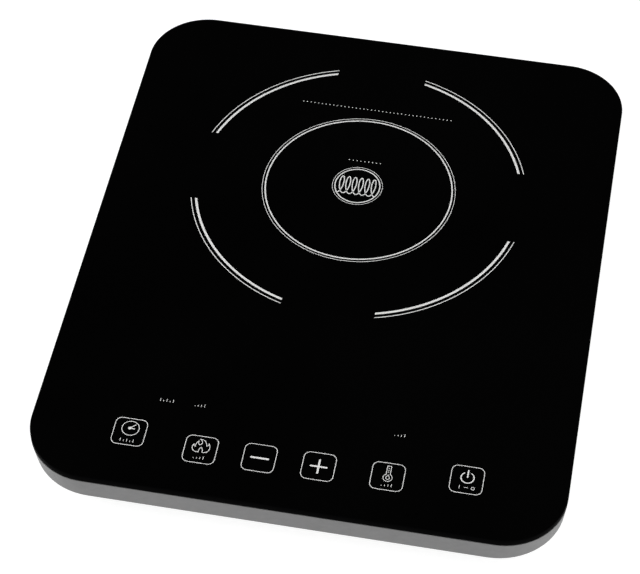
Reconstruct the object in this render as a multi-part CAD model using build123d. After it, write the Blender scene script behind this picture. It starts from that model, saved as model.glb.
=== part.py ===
from build123d import *
import math
import os

os.makedirs("parts", exist_ok=True)

# A slim portable induction cooktop, in millimetres. The origin is the middle of the
# footprint on the worktop: +X is the user's right, +Y the back, +Z up.

# Driving sizes of the outside
plate_width = 290.0
plate_depth = 352.7
plate_corner = 35.0
plate_thickness = 4.0
overall_height = 40.0
bead_thickness = 1.0
bead_inset = 0.4
bead_width = 9.0
band_height = 13.7
foot_height = 4.0
plate_top_round = 0.5
plate_low_round = 0.4

# Heights that follow from them
glass_low = overall_height - plate_thickness
frame_top = glass_low - bead_thickness
frame_low = frame_top - band_height
base_low = foot_height

# Grey side frame
frame_top_inset = 0.05
frame_low_inset = 0.8
frame_low_corner = 37.0
frame_edge_break = 0.5
frame_wall = 2.3
frame_inner_inset = frame_low_inset + frame_wall
frame_inner_corner = frame_low_corner - frame_wall
ledge_width = 17.0
ledge_thickness = 2.0

# Base shell
floor_thickness = 2.4
floor_top = base_low + floor_thickness
tub_low_inset = 21.0
tub_top_inset = 6.0
tub_wall = 3.2
tub_edge_round = 3.0
flange_inset = 3.9
flange_corner = frame_low_corner - flange_inset + frame_low_inset
flange_thickness = 2.0
flange_top = frame_low + flange_thickness
tub_slope = math.degrees(math.atan((tub_low_inset - tub_top_inset) / (frame_low - base_low)))

# Case screws run up through wells in the base into the frame's bosses
case_screw_inset = 12.5
case_boss_radius = 4.0
well_radius = 4.2
well_top = 19.0
side_screw_y = 95.0
end_screw_x = 75.0
edge_x = plate_width / 2 - case_screw_inset
edge_y = plate_depth / 2 - case_screw_inset
case_screw_places = [(sx * edge_x, sy * side_screw_y) for sx in (-1, 1) for sy in (-1, 1)]
case_screw_places += [(sx * end_screw_x, sy * edge_y) for sx in (-1, 1) for sy in (-1, 1)]
case_screw_length = 11.5
boss_web_half = 0.8

# Feet
foot_radius = 10.0
foot_x = 105.0
foot_y = 135.0
foot_neck_radius = 3.0
foot_hole_radius = 3.1

# Screw threads are shown as plain shanks
thread_radius = 1.45
pilot_radius = 1.5
inner_screw_length = 6.5
hole_clearance = 0.2
post_radius = 3.6
post_rib_half = 0.9
post_rib_reach = 6.0
least_floor = 0.8

# Induction coil and what carries it
coil_y = 52.0
coil_inner_radius = 24.0
coil_pitch = 3.0
coil_half_turns = 39
wire_radius = 1.35
carrier_radius = 88.0
carrier_low = 29.3
carrier_top = 31.3
wire_z = carrier_top + 0.3 + wire_radius
mica_low = wire_z + wire_radius
mica_thickness = 0.5
ferrite_count = 6
ferrite_length = 58.0
ferrite_width = 14.0
ferrite_thickness = 5.0
carrier_tab_reach = 95.0
tab_offset = carrier_tab_reach / math.sqrt(2)
coil_posts = [(sx * tab_offset, coil_y + sy * tab_offset) for sx in (-1, 1) for sy in (-1, 1)]
lead_hole_y = coil_y + 1.4

# Cooling fan
fan_x = -80.0
fan_y = -72.0
fan_size = 80.0
fan_low = 8.0
fan_top = 23.0
fan_bore_radius = 38.0
fan_hole_spacing = 71.5
rotor_hub_radius = 17.0
blade_tip_radius = 36.8
blade_count = 7
shaft_radius = 1.5
bearing_clearance = 0.03
bearing_radius = 2.5
fan_half_hole = fan_hole_spacing / 2
fan_posts = [(fan_x + sx * fan_half_hole, fan_y + sy * fan_half_hole) for sx in (-1, 1) for sy in (-1, 1)]

# Main board
board_x = (-36.0, 122.0)
board_y = (-112.0, -40.0)
board_low = 10.0
board_top = 11.6
board_hole_inset = 5.0
board_posts = [(x, y) for x in (board_x[0] + board_hole_inset, board_x[1] - board_hole_inset)
               for y in (board_y[0] + board_hole_inset, board_y[1] - board_hole_inset)]

# Places on the main board
terminal_places = [(60.0, -46.0), (74.0, -46.0)]
terminal_top = 19.0
choke_place = (102.0, -68.0)
choke_outer = 13.0
choke_inner = 7.6
choke_height = 10.0
choke_lift = 2.2
fuse_centre = (84.0, -104.0, 17.0)
varistor_place = (62.0, -104.0)
transformer_place = (68.0, -74.0)
chip_place = (30.0, -88.0)
can_places = [(92.0, -48.0, 5.0, 15.0), (105.0, -48.0, 4.0, 11.0), (45.0, -104.0, 4.0, 12.0)]

# Heat sink over the power devices
sink_x = (-22.0, 18.0)
sink_y = (-108.3, -43.7)
sink_base_low = board_top + 5.0
sink_base_top = sink_base_low + 4.0
sink_fin_top = 32.0
fin_thickness = 1.6
fin_pitch = 7.0
fin_count = 10
device_x = -2.0
transistor_y = -90.0
bridge_y = -62.0

# Control board behind the touch keys
panel_x = (-107.0, 107.0)
panel_y = (-158.0, -110.0)
panel_low = 26.0
panel_top = 27.6
panel_posts = [(x, y) for x in (-98.0, 98.0) for y in (-152.0, -116.0)]
keys = {
    "timer": (-90.8, -143.3),
    "heat": (-51.0, -147.9),
    "minus": (-19.2, -147.6),
    "plus": (12.7, -147.3),
    "temp": (49.6, -147.0),
    "power": (91.0, -141.5),
}
indicator_x = (-75.6, -57.4, 51.7)
indicator_y = -113.6

# Cord gland in the back wall
gland_x = 90.0
gland_z = 12.5
gland_bore_radius = 3.6
gland_sleeve_radius = 5.5
gland_flange_radius = 7.0
pad_half_width = 12.0
pad_back_y = 163.0
pad_wall = 3.5

# A cylinder or cone that stands on its own start point
rising = (Align.CENTER, Align.CENTER, Align.MIN)


# Small building helpers

def outline(inset, corner=None):
    """The plate's outline drawn in by inset, with its own corner radius if one is given."""
    radius = plate_corner - inset if corner is None else corner
    return RectangleRounded(plate_width - 2 * inset, plate_depth - 2 * inset, radius)


def slab(inset, low, high, taper=0.0, corner=None):
    """An upright slab that follows the plate's outline, drawn in by inset."""
    return extrude(Pos(0, 0, low) * outline(inset, corner), high - low, taper=taper)


def block(x, y, z):
    """A box between two values on each axis."""
    size = [pair[1] - pair[0] for pair in (x, y, z)]
    middle = [(pair[0] + pair[1]) / 2 for pair in (x, y, z)]
    return Pos(*middle) * Box(*size)


def disc(radius, x, y, low, high):
    """An upright cylinder."""
    return Pos(x, y, (low + high) / 2) * Cylinder(radius, high - low)


def tube(outer, inner, x, y, low, high):
    """An upright pipe."""
    return disc(outer, x, y, low, high) - disc(inner, x, y, low - 1, high + 1)


def cable(points, radii, radius):
    """A round cable of straight runs joined by tangent arcs."""
    path = FilletPolyline(*points, radius=radii)
    start = Plane(origin=path @ 0, z_dir=path % 0)
    return sweep(start * Circle(radius), path=path)


def screw(x, y, seat, length, head_radius=2.8, head_height=1.8, upward=False):
    """A cross-head screw whose head rests on the seat height; upward points its tip to +Z."""
    head = disc(head_radius, 0, 0, 0, head_height)
    head = fillet(head.edges().group_by(Axis.Z)[-1], head_height * 0.5)
    for turn in (0, 90):
        head -= Pos(0, 0, head_height) * Rot(0, 0, turn) * Box(head_radius * 1.1, 0.7, head_height * 1.1)
    body = head + disc(thread_radius, 0, 0, -length, 0)
    if upward:
        body = Rot(180, 0, 0) * body
    return Pos(x, y, seat) * body


def group(shapes):
    """Separate solids that share one node."""
    return Compound(children=[solid for shape in shapes for solid in shape.solids()])


# Casing

def make_glass_plate():
    plate = slab(0, glass_low, overall_height)
    plate = fillet(plate.edges().group_by(Axis.Z)[-1], plate_top_round)
    return fillet(plate.edges().group_by(Axis.Z)[0], plate_low_round)


def make_glass_adhesive():
    hole = slab(bead_inset + bead_width, frame_top - 1, glass_low + 1)
    return slab(bead_inset, frame_top, glass_low) - hole


def make_side_frame():
    """A band flush with the glass at its top, drawn in a little and rounder at its foot."""
    low_corner = frame_low_corner - frame_edge_break
    sections = [Pos(0, 0, frame_low) * outline(frame_low_inset + frame_edge_break, low_corner),
                Pos(0, 0, frame_low + frame_edge_break) * outline(frame_low_inset, frame_low_corner),
                Pos(0, 0, frame_top) * outline(frame_top_inset)]
    ring = loft(sections, ruled=True)
    ring -= slab(frame_inner_inset, frame_low - 1, frame_top - ledge_thickness, corner=frame_inner_corner)
    ring -= slab(ledge_width, frame_low, frame_top + 1)
    for x, y in case_screw_places:
        ring += disc(case_boss_radius, x, y, flange_top, frame_top - ledge_thickness)
        ring += make_boss_web(x, y)
    for x, y in case_screw_places:
        ring -= disc(pilot_radius, x, y, flange_top - 1, well_top + case_screw_length + 1)
    return ring


def make_boss_web(x, y):
    """A thin web from a screw boss out to the frame's wall."""
    span_z = (flange_top + 1.5, frame_top - ledge_thickness)
    hole = disc(case_boss_radius - 1, x, y, *span_z)
    if abs(x) == edge_x:
        reach = math.copysign(plate_width / 2 - frame_wall, x)
        return block(sorted((x, reach)), (y - boss_web_half, y + boss_web_half), span_z) - hole
    reach = math.copysign(plate_depth / 2 - frame_wall, y)
    return block((x - boss_web_half, x + boss_web_half), sorted((y, reach)), span_z) - hole


def make_base_shell():
    """The sloping tub under the frame, with its flange, wells, posts and openings."""
    outer = slab(tub_low_inset, base_low, frame_low, taper=-tub_slope)
    outer = fillet(outer.edges().group_by(Axis.Z)[0], tub_edge_round)
    outer += slab(flange_inset, frame_low, flange_top, corner=flange_corner)
    slope_drop = floor_thickness * math.tan(math.radians(tub_slope))
    cavity_inset = tub_low_inset - slope_drop + tub_wall
    shell = outer - slab(cavity_inset, floor_top, frame_low, taper=-tub_slope)
    shell -= slab(tub_top_inset + tub_wall, frame_low - 0.01, flange_top + 1)
    shell = add_cord_outlet(shell, outer)
    for x, y in case_screw_places:
        shell += disc(well_radius + 2, x, y, base_low, flange_top) & outer
    shell += base_posts()
    for cutter in hole_cutters() + intake_cutters() + outlet_cutters():
        shell -= cutter
    return shell


def hole_cutters():
    """Screw wells, blind pilot holes, foot holes and the gland's hole."""
    cutters = []
    for x, y in case_screw_places:
        cutters.append(disc(well_radius, x, y, base_low - 1, well_top))
        cutters.append(disc(pilot_radius + hole_clearance, x, y, base_low, flange_top + 1))
    for x, y, top in post_tops():
        hole_low = max(top - inner_screw_length - 0.3, base_low + least_floor)
        cutters.append(disc(pilot_radius, x, y, hole_low, top + 1))
    for sx in (-1, 1):
        for sy in (-1, 1):
            cutters.append(disc(foot_hole_radius, sx * foot_x, sy * foot_y, base_low - 1, floor_top + 1))
    gland_hole = Pos(gland_x, pad_back_y - pad_wall / 2, gland_z) * Rot(90, 0, 0)
    cutters.append(gland_hole * Cylinder(gland_sleeve_radius, pad_wall + 2))
    return cutters


def add_cord_outlet(shell, outer):
    """An upright wall for the gland, set back in a pocket in the sloping back wall."""
    wide = (gland_x - pad_half_width, gland_x + pad_half_width)
    pocket = (gland_x - pad_half_width + pad_wall, gland_x + pad_half_width - pad_wall)
    inner_y = pad_back_y - pad_wall
    tub_low_y = plate_depth / 2 - tub_low_inset
    lining = block(wide, (inner_y, plate_depth / 2), (base_low, frame_low)) & outer
    step = block(wide, (inner_y, pad_back_y), (base_low, frame_low))
    step += block(wide, (tub_low_y - 6, pad_back_y), (base_low, floor_top))
    for side in wide:
        edge = sorted((side, side + math.copysign(pad_wall, gland_x - side)))
        step += block(edge, (tub_low_y - 2, pad_back_y), (base_low, frame_low))
    shell += lining + step
    shell -= block(pocket, (tub_low_y - 8, inner_y), (floor_top, frame_low))
    return shell - block(pocket, (pad_back_y, plate_depth / 2), (base_low - 1, frame_low))


def post_tops():
    """Every screw post on the floor: its place and the height of its top."""
    tops = [(x, y, carrier_low) for x, y in coil_posts]
    tops += [(x, y, board_low) for x, y in board_posts]
    tops += [(x, y, panel_low) for x, y in panel_posts]
    return tops


def base_posts():
    """Screw posts; the tall ones under the coil have crossed ribs."""
    posts = Part()
    thin, wide = post_rib_half, post_rib_reach
    for x, y, top in post_tops():
        posts += disc(post_radius, x, y, floor_top - 1, top)
        if top == carrier_low:
            for half_x, half_y in ((thin, wide), (wide, thin)):
                posts += block((x - half_x, x + half_x), (y - half_y, y + half_y), (floor_top - 1, top * 0.6))
    for x, y in fan_posts:
        posts += tube(3.8, pilot_radius, x, y, floor_top - 1, fan_low)
    return posts


def intake_cutters():
    """Ring slots in the floor under the fan, crossed by spokes."""
    slot_width, slot_pitch, first_radius, slot_count = 3.0, 5.0, 8.0, 6
    spoke_length, spoke_width = 90.0, 3.2
    spokes = Part()
    for turn in range(0, 180, 45):
        spokes += Pos(fan_x, fan_y, base_low) * Rot(0, 0, turn + 22.5) * Box(spoke_length, spoke_width, 12)
    cutters = []
    for ring in range(slot_count):
        inner = first_radius + slot_pitch * ring
        cutters.append(tube(inner + slot_width, inner, fan_x, fan_y, base_low - 1, floor_top + 1) - spokes)
    return cutters


def outlet_cutters():
    """Upright slots in the sloping side and back walls, and long slots in the rear floor."""
    slot_half, slot_pitch = 1.5, 6.0
    slot_z = (base_low + 4.5, frame_low - 3.4)
    cutters = []
    for step in range(12):
        y = 5.0 + slot_pitch * step
        for side in (-1, 1):
            reach = sorted((side * 122, side * 141))
            cutters.append(block(reach, (y - slot_half, y + slot_half), slot_z))
    for step in range(17):
        x = -48.0 + slot_pitch * step
        cutters.append(block((x - slot_half, x + slot_half), (152, 171), slot_z))
    for step in range(9):
        x = -48.0 + 2 * slot_pitch * step
        slot = Pos(x, 92, base_low) * SlotOverall(38, 4, rotation=90)
        cutters.append(extrude(slot, floor_thickness * 2, both=True))
    return cutters


def make_foot(x, y):
    """A rubber foot: a round pad, a neck through the floor and a barb that holds it."""
    barb_height = 2.4
    pad = disc(foot_radius, x, y, 0, foot_height)
    pad = fillet(pad.edges().group_by(Axis.Z)[0], 1.2)
    neck = disc(foot_neck_radius, x, y, foot_height, floor_top)
    barb = Pos(x, y, floor_top) * Cone(foot_hole_radius + 0.8, 2.2, barb_height, align=rising)
    return pad + neck + barb


def make_cord_gland():
    """A bush for the mains cord: an outer flange, a sleeve and a snap collar inside."""
    lengths = {"flange": 2.5, "sleeve": pad_wall, "collar": 3.0}
    y = pad_back_y
    axis = Rot(-90, 0, 0)
    flange = Pos(gland_x, y, gland_z) * axis * Cylinder(gland_flange_radius, lengths["flange"], align=rising)
    flange = fillet(flange.edges().group_by(Axis.Y)[-1], 0.8)
    sleeve = Pos(gland_x, y - lengths["sleeve"], gland_z) * axis
    sleeve = sleeve * Cylinder(gland_sleeve_radius - 0.1, lengths["sleeve"], align=rising)
    collar = Pos(gland_x, y - lengths["sleeve"] - lengths["collar"], gland_z) * axis
    collar = collar * Cone(gland_sleeve_radius - 1, gland_sleeve_radius + 0.6, lengths["collar"], align=rising)
    bore = Pos(gland_x, y, gland_z) * axis * Cylinder(gland_bore_radius, 40)
    return flange + sleeve + collar - bore


# Heating coil

def make_coil_carrier():
    carrier = disc(carrier_radius, 0, coil_y, carrier_low, carrier_top)
    arm = block((carrier_radius - 6, carrier_tab_reach), (-6, 6), (carrier_low, carrier_top))
    for (x, y), turn in zip(coil_posts, (225, 135, 315, 45)):
        carrier += Pos(0, coil_y, 0) * Rot(0, 0, turn) * arm
        carrier += disc(6.0, x, y, carrier_low, carrier_top)
    carrier -= disc(14.2, 0, coil_y, carrier_low - 1, carrier_top + 1)
    window = ring_sector(36, 80, 34)
    for step in range(ferrite_count):
        carrier -= Pos(0, coil_y, 0) * Rot(0, 0, step * 360 / ferrite_count) * window
        pocket = ferrite_place(step) * Pos(0, 0, 0.6) * (
            Box(ferrite_length + 3, ferrite_width + 3, 4) - Box(ferrite_length + 0.4, ferrite_width + 0.4, 5))
        carrier += pocket
    carrier -= disc(2.2, coil_inner_radius, lead_hole_y, carrier_low - 5, carrier_top + 1)
    for x, y in coil_posts:
        carrier -= disc(pilot_radius + hole_clearance, x, y, carrier_low - 1, carrier_top + 1)
    return carrier


def ring_sector(inner, outer, degrees):
    """A window in the carrier between two of its spokes, centred on +X."""
    half = math.radians(degrees / 2)
    reach = outer * 2
    wedge = Polyline((0, 0), (reach * math.cos(half), reach * math.sin(half)),
                     (reach * math.cos(half), -reach * math.sin(half)), close=True)
    plan = (Circle(outer) - Circle(inner)) & make_face(wedge)
    return extrude(Pos(0, 0, carrier_low - 1) * plan, carrier_top - carrier_low + 2)


def ferrite_place(step):
    """The middle of one ferrite bar, lying along a radius under the carrier."""
    turn = 30 + step * 360 / ferrite_count
    return (Pos(0, coil_y, carrier_low - ferrite_thickness / 2) * Rot(0, 0, turn)
            * Pos(26 + ferrite_length / 2, 0, 0))


def make_ferrite_bar(step):
    bar = Box(ferrite_length, ferrite_width, ferrite_thickness)
    return ferrite_place(step) * chamfer(bar.edges().filter_by(Axis.X), 0.6)


def make_induction_coil():
    """A flat spiral of half circles whose centres alternate by half the pitch."""
    arcs = []
    for half_turn in range(coil_half_turns):
        radius = coil_inner_radius + coil_pitch / 2 * (half_turn + 0.5)
        side = -1 if half_turn % 2 == 0 else 1
        start_angle = 0 if half_turn % 2 == 0 else 180
        centre = (side * coil_pitch / 4 + coil_pitch / 4, coil_y, wire_z)
        arcs.append(CenterArc(centre, radius, start_angle, 180))
    radius = coil_inner_radius + coil_pitch / 2 * (coil_half_turns + 0.5)
    arcs.append(CenterArc((coil_pitch / 2, coil_y, wire_z), radius, 180, 90))
    path = Wire([edge for arc in arcs for edge in arc.edges()])
    start = Plane(origin=path @ 0, z_dir=path % 0)
    return sweep(start * Circle(wire_radius), path=path)


def coil_end():
    """Where the outer end of the winding leaves the coil, heading +X."""
    radius = coil_inner_radius + coil_pitch / 2 * (coil_half_turns + 0.5)
    return (coil_pitch / 2, coil_y - radius, wire_z)


def make_coil_leads():
    inner_x, inner_y = terminal_places[1]
    outer_x, outer_y = terminal_places[0]
    drop = [(coil_inner_radius - coil_pitch / 4, lead_hole_y, wire_z - wire_radius),
            (coil_inner_radius - coil_pitch / 4, lead_hole_y, 21.0),
            (52.0, -18.0, 21.0),
            (inner_x, inner_y, 25.0),
            (inner_x, inner_y, terminal_top)]
    end = coil_end()
    out = [end,
           (end[0] + 34.0, end[1], wire_z),
           (outer_x, outer_y, 28.0),
           (outer_x, outer_y, terminal_top)]
    return group([cable(drop, [4.0, 12.0, 1.8], wire_radius), cable(out, [12.0, 3.5], wire_radius)])


def make_coil_terminals():
    posts = []
    for x, y in terminal_places:
        nut = extrude(Pos(x, y, board_top) * RegularPolygon(4.0, 6), 2.4)
        posts.append(nut + disc(2.6, x, y, board_top, terminal_top))
    return group(posts)


def make_mica_sheet():
    return tube(carrier_radius + 2, 9.0, 0, coil_y, mica_low, mica_low + mica_thickness)


def make_sensor_holder():
    holder = disc(14.0, 0, coil_y, carrier_low - 1.3, carrier_top)
    holder += disc(17.0, 0, coil_y, carrier_top, carrier_top + 1.5)
    holder += disc(8.0, 0, coil_y, carrier_top, glass_low - 0.4)
    return holder - disc(4.1, 0, coil_y, carrier_low - 5, glass_low + 1)


def make_coil_sensor():
    sensor = disc(4.0, 0, coil_y, carrier_low, glass_low)
    return fillet(sensor.edges().group_by(Axis.Z)[-1], 0.6)


def make_sensor_cable():
    plug_x, plug_y = 22.6, -48.0
    plug = block((plug_x - 4, plug_x + 4), (plug_y - 2.5, plug_y + 2.5), (board_top, board_top + 6))
    route = [(0, coil_y, carrier_low),
             (0, coil_y, 20.0),
             (10.0, -12.0, 19.0),
             (plug_x, plug_y, 24.0),
             (plug_x, plug_y, board_top + 6)]
    return group([plug, cable(route, [3.6, 10.0, 2.5], 1.1)])


# Power electronics

def make_main_board():
    board = block(board_x, board_y, (board_low, board_top))
    board = fillet(board.edges().filter_by(Axis.Z), 2.0)
    for x, y in board_posts:
        board -= disc(pilot_radius + hole_clearance, x, y, board_low - 1, board_top + 1)
    return board


def make_heat_sink():
    sink = block(sink_x, sink_y, (sink_base_low, sink_base_top))
    for step in range(fin_count):
        low = sink_y[0] + fin_pitch * step
        sink += block(sink_x, (low, low + fin_thickness), (sink_base_top, sink_fin_top))
    leg = 4.0
    for x in (sink_x[0], sink_x[1] - leg):
        for y in (sink_y[0], sink_y[1] - leg):
            sink += block((x, x + leg), (y, y + leg), (board_top, sink_base_low))
    for y in (transistor_y, bridge_y):
        sink -= disc(pilot_radius + 0.1, device_x, y, sink_base_low - 1, sink_base_top + 1)
    return sink


def power_device(y, half_x, half_y, pin_count):
    """A flat power device under the heat sink, with its pins bent down to the board."""
    body = block((device_x - half_x, device_x + half_x), (y - half_y, y + half_y),
                 (board_top + 0.4, sink_base_low))
    body = chamfer(body.edges().group_by(Axis.Z)[0], 0.8)
    body -= disc(pilot_radius + 0.1, device_x, y, board_top, sink_base_low + 1)
    pitch = 2 * (half_y - 2.2) / (pin_count - 1)
    edge = device_x + half_x
    for pin in range(pin_count):
        pin_y = y - half_y + 2.2 + pitch * pin
        body += block((edge - 0.5, edge + 3.0), (pin_y - 0.6, pin_y + 0.6), (14.0, 14.8))
        body += block((edge + 2.2, edge + 3.0), (pin_y - 0.6, pin_y + 0.6), (board_top, 14.4))
    return body


def make_power_transistor():
    return power_device(transistor_y, 10.0, 8.0, 3)


def make_bridge_rectifier():
    return power_device(bridge_y, 10.0, 12.0, 4)


def make_device_screws():
    screws = [screw(device_x, y, sink_base_top, 8.0, head_radius=2.5) for y in (transistor_y, bridge_y)]
    return group(screws)


def box_capacitor(x, y, length, width, height):
    body = block((x - length / 2, x + length / 2), (y - width / 2, y + width / 2),
                 (board_top + 0.6, board_top + height))
    body = fillet(body.edges().filter_by(Axis.Z) + body.edges().group_by(Axis.Z)[-1], 1.2)
    for side in (-1, 1):
        body += disc(0.5, x + side * (length / 2 - 3), y, board_top, board_top + 1)
    return body


def make_choke_core():
    low = board_top + choke_lift
    ring = tube(choke_outer, choke_inner, *choke_place, low, low + choke_height)
    return chamfer(ring.edges().filter_by(GeomType.CIRCLE), 0.5)


def make_choke_winding():
    """Turns of enamelled wire round the ring core, in two opposite banks."""
    wire = 0.75
    middle = (choke_outer + choke_inner) / 2
    loop = RectangleRounded(choke_outer - choke_inner + 3 * wire, choke_height + 3 * wire, 1.4)
    height = board_top + choke_lift + choke_height / 2
    turns = []
    for bank in (0, 180):
        for step in range(8):
            turn = bank - 63 + 18 * step
            frame_plane = Plane(origin=(middle, 0, height), x_dir=(1, 0, 0), z_dir=(0, -1, 0))
            path = (frame_plane * loop).wire()
            start = Plane(origin=path @ 0, z_dir=path % 0)
            ring = sweep(start * Circle(wire), path=path)
            turns.append(Pos(choke_place[0], choke_place[1], 0) * Rot(0, 0, turn) * ring)
    return group(turns)


def make_fuse():
    x, y, z = fuse_centre
    fuse = Pos(x, y, z) * Rot(0, 90, 0) * Cylinder(2.45, 20)
    for side in (-1, 1):
        fuse += Pos(x + side * 7.6, y, z) * Rot(0, 90, 0) * Cylinder(2.6, 5.0)
    return fuse


def make_fuse_clips():
    clips = []
    x, y, z = fuse_centre
    for side in (-1, 1):
        cap_x = x + side * 7.6
        clip = block((cap_x - 2, cap_x + 2), (y - 3.4, y + 3.4), (board_top, z + 3.0))
        clip -= block((cap_x - 3, cap_x + 3), (y - 2.0, y + 2.0), (z, z + 5))
        clip -= Pos(cap_x, y, z) * Rot(0, 90, 0) * Cylinder(2.65, 6)
        clips.append(clip)
    return group(clips)


def make_varistor():
    x, y = varistor_place
    body = Pos(x, y, board_top + 8.5) * Rot(90, 0, 0) * Cylinder(6.0, 4.0)
    body = fillet(body.edges().filter_by(GeomType.CIRCLE), 1.2)
    for side in (-1, 1):
        body += disc(0.45, x + side * 3.0, y, board_top, board_top + 6)
    return body


def make_supply_transformer():
    """A small cored transformer on its own foot."""
    x, y = transformer_place
    core = block((x - 9, x + 9), (y - 8, y + 8), (board_top + 2, board_top + 17))
    window = block((x - 6, x + 6), (y - 9, y + 9), (board_top + 5, board_top + 14))
    limb = block((x - 2.5, x + 2.5), (y - 8, y + 8), (board_top + 5, board_top + 14))
    coil = block((x - 5.8, x + 5.8), (y - 10.5, y + 10.5), (board_top + 5.2, board_top + 13.8))
    coil = fillet(coil.edges().filter_by(Axis.Z), 2.0)
    body = core - window + limb + coil
    return body + block((x - 9, x + 9), (y - 10, y + 10), (board_top, board_top + 2))


def make_electrolytic_capacitors():
    cans = []
    for x, y, radius, height in can_places:
        can = disc(radius, x, y, board_top, board_top + height)
        can = fillet(can.edges().group_by(Axis.Z)[-1], 0.6)
        can -= tube(radius + 1, radius - 0.35, x, y, board_top + 1.6, board_top + 2.4)
        cans.append(can)
    return group(cans)


def make_control_chip():
    x, y = chip_place
    chip = block((x - 3.3, x + 3.3), (y - 12.5, y + 12.5), (board_top + 0.8, board_top + 4.2))
    chip -= disc(1.2, x, y + 12.5, board_top + 3.6, board_top + 5)
    for side in (-1, 1):
        for pin in range(10):
            pin_y = y - 11.4 + 2.54 * pin
            reach = sorted((x + side * 3.0, x + side * 4.1))
            chip += block(reach, (pin_y - 0.4, pin_y + 0.4), (board_top + 2, board_top + 2.4))
            leg = sorted((x + side * 3.7, x + side * 4.1))
            chip += block(leg, (pin_y - 0.4, pin_y + 0.4), (board_top, board_top + 2.2))
    return chip


# Cooling fan

def make_fan_housing():
    """A square fan frame with a hub plate on four struts and a tube for the bearing."""
    depth = fan_top - fan_low
    plate = 1.6
    centre = Pos(fan_x, fan_y, fan_low)
    frame = centre * extrude(RectangleRounded(fan_size, fan_size, 4.0), depth)
    frame -= disc(fan_bore_radius, fan_x, fan_y, fan_low - 1, fan_top + 1)
    strut = Pos(26, 0, plate / 2) * Box(26, 3.4, plate)
    notch = Pos(fan_size / 2, 0, depth / 2) * Box(9, 34, 9)
    notch -= Pos(fan_size / 2 - 4.6, 0, depth / 2) * Box(9, 40, 12)
    for turn in (0, 90, 180, 270):
        frame += centre * Rot(0, 0, turn + 20) * strut
        frame -= centre * Rot(0, 0, turn) * notch
    frame += disc(16.0, fan_x, fan_y, fan_low, fan_low + plate)
    frame += tube(4.0, bearing_radius, fan_x, fan_y, fan_low + 1, fan_top - 4.0)
    for x, y in fan_posts:
        frame -= disc(pilot_radius + hole_clearance, x, y, fan_low - 1, fan_top + 1)
    return frame


def make_fan_bearing():
    return tube(bearing_radius, shaft_radius + bearing_clearance, fan_x, fan_y, fan_low + 2.2, fan_top - 4.4)


def make_fan_stator():
    low, high = fan_low + 3.0, fan_top - 6.0
    core = tube(6.0, 4.0, fan_x, fan_y, low, high)
    for turn in (0, 90, 180, 270):
        pole = Pos(7.5, 0, 0) * Box(6, 3.0, high - low)
        shoe = (Circle(12.2) - Circle(10.6)) & (Pos(12, 0) * Rectangle(8, 13))
        shoe = extrude(Pos(0, 0, -(high - low) / 2) * shoe, high - low)
        bobbin = Pos(8.2, 0, 0) * Box(3.6, 6.4, high - low - 0.8)
        core += Pos(fan_x, fan_y, (low + high) / 2) * Rot(0, 0, turn) * (pole + shoe + bobbin)
    return core


def make_fan_impeller():
    low, cap_low, high = fan_low + 2.6, fan_top - 3.4, fan_top - 1.8
    hub = disc(rotor_hub_radius, fan_x, fan_y, low, high)
    hub = fillet(hub.edges().group_by(Axis.Z)[-1], 1.2)
    hub -= disc(14.6, fan_x, fan_y, low - 1, cap_low)
    blades = Part()
    for step in range(blade_count):
        blades += Pos(fan_x, fan_y, (low + high) / 2) * Rot(0, 0, step * 360 / blade_count) * fan_blade()
    blades &= tube(blade_tip_radius, rotor_hub_radius - 0.6, fan_x, fan_y, low - 2, high + 2)
    return hub + blades - disc(shaft_radius, fan_x, fan_y, cap_low - 1, high + 1)


def fan_blade():
    """One twisted blade, from its root at the hub to beyond the tip."""
    root = Plane(origin=(rotor_hub_radius - 1.2, 0, 0), x_dir=(0, 1, 0), z_dir=(1, 0, 0))
    tip = Plane(origin=(blade_tip_radius + 2, 3.0, 0), x_dir=(0, 1, 0), z_dir=(1, 0, 0))
    sections = [root * Rot(0, 0, 48) * RectangleRounded(12.0, 1.5, 0.7),
                tip * Rot(0, 0, 28) * RectangleRounded(19.0, 1.3, 0.6)]
    return loft(sections)


def make_fan_magnet_ring():
    return tube(14.6, 12.9, fan_x, fan_y, fan_low + 2.8, fan_top - 4.2)


def make_fan_shaft():
    return disc(shaft_radius, fan_x, fan_y, fan_low + 2.4, fan_top - 1.8)


def make_fan_screws():
    length = fan_top - floor_top
    return group([screw(x, y, fan_top, length, head_radius=2.8) for x, y in fan_posts])


def make_fan_cable():
    plug_x, plug_y = -31.0, -56.0
    exit_z = fan_top - 2.0
    plug = block((plug_x - 3, plug_x + 3), (plug_y - 4, plug_y + 4), (board_top, board_top + 6))
    route = [(fan_x + fan_size / 2, plug_y, exit_z), (plug_x, plug_y, exit_z), (plug_x, plug_y, board_top + 6)]
    return group([plug, cable(route, [2.6], 1.0)])


# Touch panel

def make_control_board():
    board = block(panel_x, panel_y, (panel_low, panel_top))
    board = fillet(board.edges().filter_by(Axis.Z), 3.0)
    for x, y in panel_posts:
        board -= disc(pilot_radius + hole_clearance, x, y, panel_low - 1, panel_top + 1)
    return board


def make_touch_spring(x, y):
    """A coil spring that carries the touch of a finger from the glass to the board."""
    wire = 0.45
    height = glass_low - panel_top - 2 * wire
    path = Helix(pitch=height / 4, height=height, radius=4.6)
    spring = sweep(Plane(origin=path @ 0, z_dir=path % 0) * Circle(wire), path=path)
    return Pos(x, y, panel_top + wire) * spring


def make_display_module():
    module = block((-24, 24), (-128, -112), (panel_top, panel_top + 7.2))
    module = chamfer(module.edges().group_by(Axis.Z)[-1], 0.5)
    for digit in range(4):
        window = block((-21.5 + 11 * digit, -12.5 + 11 * digit), (-126.5, -113.5),
                       (panel_top + 6.9, panel_top + 8))
        module -= window
    return module


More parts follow.
